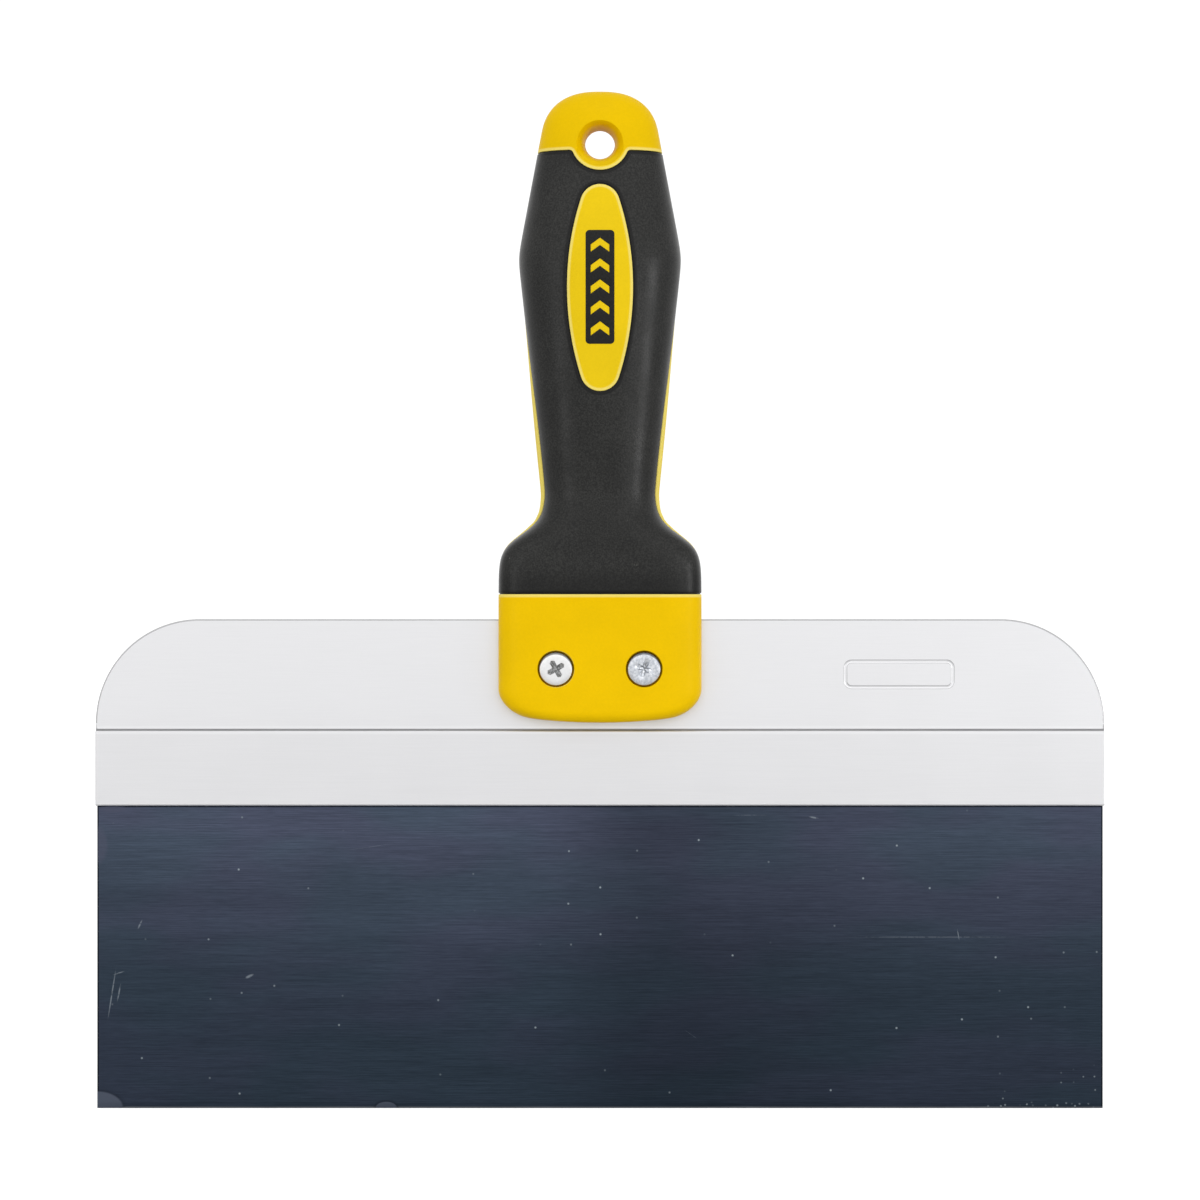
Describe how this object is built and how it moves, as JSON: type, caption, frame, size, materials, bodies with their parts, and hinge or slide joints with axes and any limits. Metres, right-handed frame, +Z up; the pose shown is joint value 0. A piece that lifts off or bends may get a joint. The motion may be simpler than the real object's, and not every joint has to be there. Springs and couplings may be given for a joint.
{
  "type": "drywall taping knife",
  "caption": "Wide drywall taping knife: spring-steel blade in an aluminium backing, screwed to a two-shot soft-grip handle with a hang hole.",
  "frame": {"origin": "middle of the blade's working edge, which is the bottom centre of the bounding box", "axes": "+Z up along the handle, from the working edge to the crown; the blade lies in the XZ plane; -Y is the front, the side with the screw heads"},
  "size_m": [0.2546, 0.0293, 0.2567],
  "materials": {
    "blued_spring_steel": "blued, fine horizontal grain, satin",
    "aluminium_extrusion": "clear-anodised satin",
    "yellow_plastic": "satin moulded polypropylene",
    "black_soft_grip": "matt thermoplastic rubber, fine spark texture",
    "zinc_steel": "zinc-plated, slightly dull"
  },
  "bodies": {
    "handle": {"backing": "aluminium_extrusion", "handle_core": "yellow_plastic", "soft_grip": "black_soft_grip", "badge_inlay": "black_soft_grip", "handle_screws": "zinc_steel", "sleeve_nuts": "zinc_steel"},
    "blade": {"blade": "blued_spring_steel"}
  },
  "joints": [
    {"name": "blade_flex", "type": "hinge", "parent": "handle", "child": "blade", "pos_m": [0, 0, 0.065], "axis": [1, 0, 0], "range_deg": [-12, 12], "stiffness_Nm_per_rad": 16, "deforming": ["blade"]}
  ]
}
